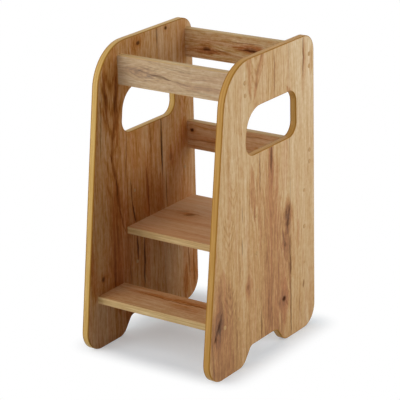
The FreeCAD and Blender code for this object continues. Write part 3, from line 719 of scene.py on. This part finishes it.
def screw_material():
    """Zinc-plated steel, cold-headed and rolled: bright, with a faint blue-grey bloom of zinc."""
    add = emptied(bpy.data.materials.new("zinc_plated_steel_screws"))
    place = add("ShaderNodeTexCoord", output=3)
    bloom = add("ShaderNodeTexNoise", {"Vector": place, "Scale": 1 / 0.004, "Detail": 3.0})
    stops = [(0.3, *linear("#A9AEB4")), (0.7, *linear("#D2D5D6"))]
    shade = fill_ramp(add("ShaderNodeValToRGB", bloom), stops)
    roughness = add(RANGE, bloom, 0.3, 0.7, 0.42, 0.28)
    steel = {"Base Color": shade, "Roughness": roughness, "Metallic": 1.0}
    add("ShaderNodeOutputMaterial", add("ShaderNodeBsdfPrincipled", steel))


# ------------------------------------------------------------------------------- geometry trees


# How far the side of the scraped joint line slopes, and the edges that stay sharp on a grown piece
JOINT_SLOPE = 0.05 * MM
SHARP_FROM = math.radians(40)


def new_tree(name, lengths, counts, **others):
    """An empty geometry tree with these inputs and a material, as new_group gives it."""
    shape = {"Geometry": "NodeSocketGeometry"}
    numbers = {**dict.fromkeys(lengths, FLOAT), **dict.fromkeys(counts, "NodeSocketInt")}
    inputs = {**shape, **numbers, **others, "Material": "NodeSocketMaterial"}
    return new_group(name, "GeometryNodeTree", inputs, shape)


def close_tree(add, shape, labels, material):
    """Ends a geometry tree in plain geometry of one material, without the attributes of these names."""
    shape = add("GeometryNodeRealizeInstances", shape)
    for label in labels:
        shape = add("GeometryNodeRemoveAttribute", {"Geometry": shape, "Name": label})
    add("NodeGroupOutput", add("GeometryNodeSetMaterial", {"Geometry": shape, "Material": material}))


def band_tree():
    """Sweeps the band's section along a line of corners, each rounded to its own radius."""
    lengths = ("Board", "Thickness", "Arris", "Joint width", "Joint depth", "Overlap")
    counts = ("Corner steps", "Arris steps")
    add, given = new_tree("Edge band sweep", lengths, counts, Across="NodeSocketVector")
    # The section: x across the board's thickness, y into the board
    half = add(MULTIPLY, given["Board"], 0.5)
    sunk = add(SUBTRACT, half, given["Joint depth"])
    under = add(ADD, given["Thickness"], given["Overlap"])
    joint = add(SUBTRACT, given["Thickness"], given["Joint width"])
    lip = add(SUBTRACT, joint, JOINT_SLOPE)
    corners = [(sunk, under), (sunk, joint), (half, lip), (half, 0.0)]
    points = []
    for sign in (-1.0, 1.0):
        row = []
        for across, inward in corners:
            across = add(MULTIPLY, across, sign)
            row.append(add(COMBINE, across, inward, 0.0))
        points += row if sign < 0 else row[::-1]
    line = add("GeometryNodeMeshLine", {"Count": len(points)})
    index = add("GeometryNodeInputIndex")
    spot = fill_switch(add("GeometryNodeIndexSwitch", data_type="VECTOR"), index, points)
    section = add("GeometryNodeSetPosition", {"Geometry": line, "Position": spot})
    section = add("GeometryNodeMeshToCurve", section)
    section = add("GeometryNodeSetSplineCyclic", {"Geometry": section, "Cyclic": True})
    # Only the two middle points, on the band's face, are rounded
    outer = add(COMPARE, index, 3.5, 0.6)
    rounding = add(MULTIPLY, outer, given["Arris"])
    fillet = {"Curve": section, "Radius": rounding, "Count": given["Arris steps"]}
    section = add("GeometryNodeFilletCurve", fillet, mode="POLY")
    spot = add(SEPARATE, add("GeometryNodeInputPosition")).node.outputs
    for label, value in (("across", spot["X"]), ("inward", spot["Y"])):
        kept = {"Geometry": section, "Name": label, "Value": value}
        section = add("GeometryNodeStoreNamedAttribute", kept)
    # The path, its corners rounded, with the distance along it kept for the print
    path = add("GeometryNodeMeshToCurve", given["Geometry"])
    radius = add("GeometryNodeInputNamedAttribute", {"Name": "corner_radius"})
    fillet = {"Curve": path, "Radius": radius, "Count": given["Corner steps"]}
    path = add("GeometryNodeFilletCurve", fillet, mode="POLY")
    path = add("GeometryNodeSetCurveNormal", {"Curve": path, "Normal": given["Across"]}, mode="FREE")
    run = add("GeometryNodeSplineParameter", output=1)
    path = add("GeometryNodeStoreNamedAttribute", {"Geometry": path, "Name": "run", "Value": run})
    band = add("GeometryNodeCurveToMesh", {"Curve": path, "Profile Curve": section, "Fill Caps": True})
    parts = [add("GeometryNodeInputNamedAttribute", {"Name": n}) for n in ("run", "across", "inward")]
    place = add(COMBINE, *parts)
    place = add(VECTOR, place, {3: 1 / MM}, operation="SCALE")
    kept = {"Geometry": band, "Name": "band_place", "Value": place}
    band = add("GeometryNodeStoreNamedAttribute", kept, data_type="FLOAT_VECTOR")
    band = add("GeometryNodeSetShadeSmooth", {"Geometry": band, "Shade Smooth": True})
    close_tree(add, band, ("run", "across", "inward", "corner_radius"), given["Material"])


def cover_tree():
    """Sets a domed cover with its pin on every point, looking along X as the point's facing says."""
    lengths = ("Diameter", "Height", "Pin diameter", "Pin length")
    add, given = new_tree("Screw covers", lengths, ("Segments", "Rings"))
    radius = add(MULTIPLY, given["Diameter"], 0.5)
    pin = add(MULTIPLY, given["Pin diameter"], 0.5)
    # The pin's last 15 % tapers to 80 % of its width
    tip = add(MULTIPLY, pin, 0.8)
    end = add(MULTIPLY, given["Pin length"], -1.0)
    shoulder = add(MULTIPLY, given["Pin length"], -0.85)
    # The section as (distance from the axis, height), from the pin's end to the top of the dome
    fixed = [(0.0, end), (tip, end), (pin, shoulder), (pin, 0.0), (radius, 0.0)]
    count = add(ADD, given["Rings"], float(len(fixed)) + 1)
    line = add("GeometryNodeMeshLine", {"Count": count})
    index = add("GeometryNodeInputIndex")
    share = add(SUBTRACT, index, float(len(fixed)))
    share = add(DIVIDE, share, given["Rings"], use_clamp=True)
    turn = add(MULTIPLY, share, math.pi / 2)
    # A superellipse of power 3: a flat-topped dome with a rounded rim
    out = add(MAXIMUM, add(COSINE, turn), 0.0)
    out = add(POWER, out, 2 / 3)
    out = add(MULTIPLY, out, radius)
    rise = add(POWER, add(SINE, turn), 2 / 3)
    rise = add(MULTIPLY, rise, given["Height"])
    points = [add(COMBINE, *place, 0.0) for place in (*fixed, (out, rise))]
    number = add(MINIMUM, index, float(len(fixed)))
    spot = fill_switch(add("GeometryNodeIndexSwitch", data_type="VECTOR"), number, points)
    # Turned about the axis: the section is moved in by the radius of the circle that carries it
    shift = add(COMBINE, radius, 0.0, 0.0)
    spot = add(VECTOR, spot, shift, operation="SUBTRACT")
    section = add("GeometryNodeSetPosition", {"Geometry": line, "Position": spot})
    section = add("GeometryNodeMeshToCurve", section)
    circle = add("GeometryNodeCurvePrimitiveCircle", {"Resolution": given["Segments"], "Radius": radius})
    turned = add("GeometryNodeCurveToMesh", {"Curve": circle, "Profile Curve": section})
    turned = add("GeometryNodeMergeByDistance", {"Geometry": turned, "Distance": 0.00001})
    turned = add("GeometryNodeSetShadeSmooth", {"Geometry": turned, "Shade Smooth": True})
    facing = add("GeometryNodeInputNamedAttribute", {"Name": "facing"})
    # The circle turns the section over, so its top looks down until it is turned back here
    outward = add(MULTIPLY, facing, -1.0)
    outward = add(COMBINE, outward, 0.0, 0.0)
    rotation = add("FunctionNodeAlignRotationToVector", {"Vector": outward}, axis="Z")
    points = add("GeometryNodeMeshToPoints", given["Geometry"])
    placed = {"Points": points, "Instance": turned, "Rotation": rotation}
    covers = add("GeometryNodeInstanceOnPoints", placed)
    close_tree(add, covers, ("facing",), given["Material"])


# ------------------------------------------------------------------------------- making the pieces


def host_mesh(name, points, edges, attribute, values):
    """An object of bare points and edges, with a number on each point for a geometry tree."""
    mesh = bpy.data.meshes.new(name)
    mesh.from_pydata(points, edges, [])
    layer = mesh.attributes.new(attribute, "FLOAT", "POINT")
    layer.data.foreach_set("value", values)
    made = bpy.data.objects.new(name, mesh)
    bpy.context.scene.collection.objects.link(made)
    return made


def grown(made, tree, settings, **inputs):
    """Runs a geometry tree on an object and leaves the result as its plain mesh, faces outwards.

    A socket takes the input of its name, or else the setting of its name."""
    modifier = made.modifiers.new("Growth", "NODES")
    modifier.node_group = tree
    for socket in tree.interface.items_tree:
        field = socket.name.lower().replace(" ", "_")
        if socket.in_out == "INPUT" and field != "geometry":
            modifier[socket.identifier] = inputs[field] if field in inputs else getattr(settings, field)
    graph = bpy.context.evaluated_depsgraph_get()
    result = made.evaluated_get(graph)
    mesh = bpy.data.meshes.new_from_object(result, preserve_all_data_layers=True, depsgraph=graph)
    made.modifiers.clear()
    shape = bmesh.new()
    shape.from_mesh(mesh)
    if shape.calc_volume(signed=True) < 0:
        bmesh.ops.reverse_faces(shape, faces=shape.faces)
    shape.to_mesh(mesh)
    shape.free()
    mesh.set_sharp_from_angle(angle=SHARP_FROM)
    bare, made.data = made.data, mesh
    bpy.data.meshes.remove(bare)
    mesh.name = made.name
    if not mesh.polygons:
        raise RuntimeError(f"{made.name} has grown no shape")


def finish_piece(made, node):
    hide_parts(node)
    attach(made, BODY)


def swept_band(context, node, kind, corners, across, closed):
    """A rounded band along these corners, given as (place, corner radius), in place of its CAD node."""
    points, radii = zip(*corners)
    edges = [(n, n + 1) for n in range(len(points) - 1)] + ([(len(points) - 1, 0)] if closed else [])
    made = host_mesh(f"{node}_rounded", points, edges, "corner_radius", radii)
    material = bpy.data.materials[f"abs_edge_band_{kind}"]
    sweep = bpy.data.node_groups["Edge band sweep"]
    grown(made, sweep, context.scene.stool_bands, across=across, material=material)
    finish_piece(made, node)


# The panel's front edge leans. It would meet the floor at the toe, so that its corner of 55 mm, once
# rounded, just reaches y = -250.
LEAN = math.tan(math.radians(7.7))
TOE = -250 - 55 * (LEAN + math.hypot(1, LEAN) - 1)


def lean_line(z, margin=0.0):
    """The panel's leaning front edge at height z, or a line behind it by this margin."""
    return TOE + z * LEAN + margin * math.hypot(1, LEAN)


# The side panel's outline and its hand hole, as (y, z, corner radius) in mm, y from the middle. The first
# and last corners, of radius 0, lie 3 mm apart on one straight run, where the print's ends meet.
PANEL_OUTLINE = [
    (1.5, 45, 0), (-61, 45, 20), (-97, 0, 40), (lean_line(0), 0, 55), (lean_line(800), 800, 120),
    (250, 800, 45), (250, 0, 55), (97, 0, 40), (61, 45, 20), (4.5, 45, 0),
]
HAND_HOLE = [
    (20.0, 551, 0), (164, 551, 35), (164, 672, 35),
    (lean_line(672, 108), 672, 65), (lean_line(551, 108), 551, 35), (17.0, 551, 0),
]
# Screws in each end of each board, and the spare holes for other platform heights, as (y, z) in mm
SCREWS = {
    "front_top_rail": [(-69.5, 743), (-69.5, 711)],
    "rear_top_rail": [(227.5, 748), (227.5, 716)],
    "rear_middle_rail": [(227.5, 491), (227.5, 459)],
    "standing_platform": [(-28, 287.5), (200, 287.5)],
    "lower_step": [(-178, 137.5), (-111, 137.5)],
}
SPARE_HOLES = [(y, z) for z in (187.5, 387.5) for y in (-28, 200)]


# ------------------------------------------------------------------------------------- operators


class STOOL_OT_finishes(bpy.types.Operator):
    """Make the oak decor, plastic and steel finishes and the geometry trees"""

    bl_idname = "stool.finishes"
    bl_label = "Finishes"

    def execute(self, context):
        knot_group()
        crack_group()
        arch_group()
        grain_group(context.scene.stool_decor)
        bands = context.scene.stool_bands
        band_material("left", bands, bands.left_light, bands.left_dark, bands.panel_body)
        band_material("right", bands, bands.right_light, bands.right_dark, bands.panel_body)
        band_material("boards", bands, bands.board_light, bands.board_dark, bands.board_body)
        cover_material(context.scene.stool_covers)
        screw_material()
        band_tree()
        cover_tree()
        return {"FINISHED"}


def dress(node, material):
    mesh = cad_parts[node].data
    mesh.materials.clear()
    mesh.materials.append(material)


def dress_boards(context, boards, axes):
    for board in boards:
        dress(board, decor_material(board, axes, context.scene.stool_decor))
    return {"FINISHED"}


class STOOL_OT_side_panels(bpy.types.Operator):
    """Print the two side panels with upright oak planks"""

    bl_idname = "stool.side_panels"
    bl_label = "Side panels"

    def execute(self, context):
        return dress_boards(context, [f"{side}_side_panel" for side in SIDES], UPRIGHT)


class STOOL_OT_rails(bpy.types.Operator):
    """Print the three guard rails with oak that runs from side to side"""

    bl_idname = "stool.rails"
    bl_label = "Guard rails"

    def execute(self, context):
        return dress_boards(context, RAILS, ACROSS_RAIL)


class STOOL_OT_treads(bpy.types.Operator):
    """Print the platform and the step with oak that runs from side to side"""

    bl_idname = "stool.treads"
    bl_label = "Platform and step"

    def execute(self, context):
        return dress_boards(context, TREADS, ACROSS_TREAD)


class STOOL_OT_panel_bands(bpy.types.Operator):
    """Run an edge band round each side panel and round its hand hole"""

    bl_idname = "stool.panel_bands"
    bl_label = "Side panel bands"

    def execute(self, context):
        bands = context.scene.stool_bands
        for side, sign in SIDES.items():
            x = sign * (PANEL_FACE - bands.board / 2)
            for name, outline in (("panel", PANEL_OUTLINE), ("hand_hole", HAND_HOLE)):
                corners = [((x, y * MM, z * MM), radius * MM) for y, z, radius in outline]
                swept_band(context, f"{side}_{name}_edge_band", side, corners, (1.0, 0.0, 0.0), closed=True)
        return {"FINISHED"}


class STOOL_OT_board_bands(bpy.types.Operator):
    """Run an edge band along the free edges of the rails, the platform and the step"""

    bl_idname = "stool.board_bands"
    bl_label = "Rail, platform and step bands"

    def execute(self, context):
        rails = [(rail, edge, 2, sign) for rail in RAILS for edge, sign in (("upper", 1), ("lower", -1))]
        sides = (("front", -1), ("rear", 1))
        treads = [(tread, edge, 1, sign) for tread in TREADS.values() for edge, sign in sides]
        for board, edge, axis, sign in rails + treads:
            node = f"{board}_{edge}_edge_band"
            low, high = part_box(node)
            place = (low + high) / 2
            place[axis] = (high if sign > 0 else low)[axis]
            # Run so that the path's direction, crossed with the across direction, points into the board
            leftwards = (axis == 2) == (sign > 0)
            ends = [((x, place.y, place.z), 0.0) for x in ((high.x, low.x) if leftwards else (low.x, high.x))]
            across = (0.0, 1.0, 0.0) if axis == 2 else (0.0, 0.0, 1.0)
            swept_band(context, node, "boards", ends, across, closed=False)
        return {"FINISHED"}


COVER_SIZES = {"diameter": "", "pin_diameter": "_pin", "pin_length": "_pin_length"}


def covers_on(context, kind, node, places, x, outward=1):
    """Domed caps or plugs on these (y, z) places of both side panels' outer or inner faces, at x and -x."""
    covers = context.scene.stool_covers
    spots = [(side, y * MM, z * MM) for side in SIDES.values() for y, z in places]
    points = [(side * x, y, z) for side, y, z in spots]
    facing = [float(side * outward) for side, y, z in spots]
    made = host_mesh(f"{node}_domed", points, [], "facing", facing)
    sizes = {field: getattr(covers, kind + end) for field, end in COVER_SIZES.items()}
    material = bpy.data.materials["moulded_polyethylene_covers"]
    grown(made, bpy.data.node_groups["Screw covers"], covers, **sizes, material=material)
    finish_piece(made, node)


class STOOL_OT_screw_caps(bpy.types.Operator):
    """Set a cap over every screw head"""

    bl_idname = "stool.screw_caps"
    bl_label = "Screw caps"

    def execute(self, context):
        for board, places in SCREWS.items():
            covers_on(context, "cap", f"{board}_screw_caps", places, PANEL_FACE)
        return {"FINISHED"}


class STOOL_OT_hole_plugs(bpy.types.Operator):
    """Close the spare platform holes with plugs on both faces of each side panel"""

    bl_idname = "stool.hole_plugs"
    bl_label = "Spare hole plugs"

    def execute(self, context):
        inner = PANEL_FACE - context.scene.stool_bands.board
        covers_on(context, "plug", "spare_hole_outer_plugs", SPARE_HOLES, PANEL_FACE)
        covers_on(context, "plug", "spare_hole_inner_plugs", SPARE_HOLES, inner, outward=-1)
        return {"FINISHED"}


class STOOL_OT_screws(bpy.types.Operator):
    """Plate the confirmat screws with zinc"""

    bl_idname = "stool.screws"
    bl_label = "Screws"

    def execute(self, context):
        for board in SCREWS:
            dress(f"{board}_screws", bpy.data.materials["zinc_plated_steel_screws"])
        return {"FINISHED"}


# Azimuth and elevation of the lamps in degrees. They are squares that stand off from one point.
LAMPS = {
    "right_lamp": (100, 14),
    "left_lamp": (-35, 14),
    "top_lamp": (-10, 42),
    "rear_lamp": (180, 42),
    "fill_lamp": (-115, 25),
}
LAMP_SIZE, LAMP_DISTANCE, LAMPS_LOOK_AT = 1.5, 2.6, Vector((0.0, 0.0, 0.4))
# The floor lies just below the feet. The stool's shadow is whole on this rectangle, which it stands on.
FLOOR_RADIUS, FLOOR_DROP = 14.0, 0.0004
SHADOW_MIDDLE, SHADOW_HALF_SIZE = (0.0, 0.025, 0.0), (0.195, 0.2, 1.0)


def direction(azimuth, elevation):
    """From the stool towards this azimuth, counted from the step's side, and elevation."""
    flat = math.cos(elevation)
    return Vector((math.sin(azimuth) * flat, -math.cos(azimuth) * flat, math.sin(elevation)))


class STOOL_OT_stage(bpy.types.Operator):
    """Set up the floor, the lamps and the camera"""

    bl_idname = "stool.stage"
    bl_label = "Stage"

    def execute(self, context):
        stage = context.scene.stool_stage
        scene = context.scene
        scene.view_settings.view_transform = "Standard"
        self.add_world(scene, stage)
        self.add_floor(scene, stage)
        for name, (azimuth, elevation) in LAMPS.items():
            away = direction(math.radians(azimuth), math.radians(elevation))
            self.add_lamp(scene, name, away, getattr(stage, name))
        self.add_camera(scene, stage)
        return {"FINISHED"}

    def add_world(self, scene, stage):
        world = bpy.data.worlds.new("studio_air")
        add = emptied(world)
        seen = self.seen_by_eye(add)
        around, background = (stage.ambient,) * 3 + (1,), (*stage.background, 1)
        shade = add("ShaderNodeMix", {0: seen, 6: around, 7: background}, **COLOURS)
        light = add("ShaderNodeBackground", shade, 1.0)
        add("ShaderNodeOutputWorld", light)
        scene.world = world

    def seen_by_eye(self, add):
        """1 for rays from the camera, and for what metal and glass show of the background."""
        rays = add("ShaderNodeLightPath").node.outputs
        seen = add(MAXIMUM, rays["Is Camera Ray"], rays["Is Glossy Ray"])
        return add(MAXIMUM, seen, rays["Is Transmission Ray"])

    def add_floor(self, scene, stage):
        made = bpy.data.materials.new("matt_studio_floor")
        add = emptied(made)
        matt = add("ShaderNodeBsdfDiffuse", (*stage.floor, 1), 0.0)
        glow = add("ShaderNodeEmission", (*stage.background, 1), stage.floor_glow)
        near = add("ShaderNodeAddShader", matt, glow)
        white = add("ShaderNodeEmission", (*stage.background, 1), 1.0)
        # From the stool's own shadow, on the rectangle that it stands on, to plain white beside it
        place = add("ShaderNodeTexCoord", output=3)
        beyond = add(VECTOR, place, SHADOW_MIDDLE, operation="SUBTRACT")
        beyond = add(VECTOR, beyond, operation="ABSOLUTE")
        beyond = add(VECTOR, beyond, SHADOW_HALF_SIZE, operation="SUBTRACT")
        beyond = add(VECTOR, beyond, (0.0, 0.0, 0.0), operation="MAXIMUM")
        beyond = add(VECTOR, beyond, operation="LENGTH", output=1)
        edge = (0.0, stage.shadow_edge, 0.0, 1.0)
        share = add(RANGE, beyond, *edge, **SMOOTH)
        seen = add("ShaderNodeMixShader", share, near, white)
        shader = add("ShaderNodeMixShader", self.seen_by_eye(add), matt, seen)
        add("ShaderNodeOutputMaterial", shader)
        mesh = bpy.data.meshes.new("studio_floor")
        shape = bmesh.new()
        bmesh.ops.create_circle(shape, cap_ends=True, radius=FLOOR_RADIUS, segments=64)
        bmesh.ops.translate(shape, vec=(0, 0, -FLOOR_DROP), verts=shape.verts)
        shape.to_mesh(mesh)
        shape.free()
        mesh.materials.append(made)
        floor = bpy.data.objects.new("studio_floor", mesh)
        scene.collection.objects.link(floor)

    def add_lamp(self, scene, name, away, watts):
        """A soft square lamp, which no camera sees."""
        lamp = bpy.data.lights.new(name, "AREA")
        lamp.shape = "SQUARE"
        lamp.size = LAMP_SIZE
        lamp.energy = watts
        holder = bpy.data.objects.new(name, lamp)
        holder.location = LAMPS_LOOK_AT + away * LAMP_DISTANCE
        holder.rotation_euler = away.to_track_quat("Z", "Y").to_euler()
        holder.visible_camera = False
        scene.collection.objects.link(holder)

    def add_camera(self, scene, stage):
        back = direction(stage.azimuth, stage.elevation)
        across = Vector((0, 0, 1)).cross(back).normalized()
        rise = back.cross(across)
        right = across * math.cos(stage.roll) + rise * math.sin(stage.roll)
        up = rise * math.cos(stage.roll) - across * math.sin(stage.roll)
        camera = bpy.data.cameras.new("camera")
        camera.lens = stage.focal
        camera.sensor_width = 36
        camera.clip_start, camera.clip_end = 0.1, 60
        holder = bpy.data.objects.new("camera", camera)
        turned = Matrix((right, up, back)).transposed().to_4x4()
        holder.matrix_world = Matrix.Translation(Vector(stage.target) + back * stage.distance) @ turned
        scene.collection.objects.link(holder)
        scene.camera = holder


OPERATORS = (
    STOOL_OT_finishes,
    STOOL_OT_side_panels,
    STOOL_OT_rails,
    STOOL_OT_treads,
    STOOL_OT_panel_bands,
    STOOL_OT_board_bands,
    STOOL_OT_screw_caps,
    STOOL_OT_hole_plugs,
    STOOL_OT_screws,
    STOOL_OT_stage,
)


class STOOL_PT_panel(bpy.types.Panel):
    """The stool's settings and steps"""

    bl_idname = "STOOL_PT_panel"
    bl_label = "Helper stool"
    bl_space_type = "VIEW_3D"
    bl_region_type = "UI"
    bl_category = "Helper stool"

    def draw(self, context):
        for name, group in SETTINGS.items():
            box = self.layout.box()
            box.label(text=group.__doc__)
            settings = getattr(context.scene, name)
            for field in group.__annotations__:
                box.prop(settings, field)
        for operator in OPERATORS:
            self.layout.operator(operator.bl_idname)


def register():
    for name, group in SETTINGS.items():
        bpy.utils.register_class(group)
        setattr(bpy.types.Scene, name, PointerProperty(type=group))
    for operator in OPERATORS:
        bpy.utils.register_class(operator)
    bpy.utils.register_class(STOOL_PT_panel)


def unregister():
    bpy.utils.unregister_class(STOOL_PT_panel)
    for operator in reversed(OPERATORS):
        bpy.utils.unregister_class(operator)
    for name, group in reversed(SETTINGS.items()):
        delattr(bpy.types.Scene, name)
        bpy.utils.unregister_class(group)


def main():
    register()
    for operator in OPERATORS:
        group, name = operator.bl_idname.split(".")
        getattr(getattr(bpy.ops, group), name)()


if __name__ == "__main__":
    main()
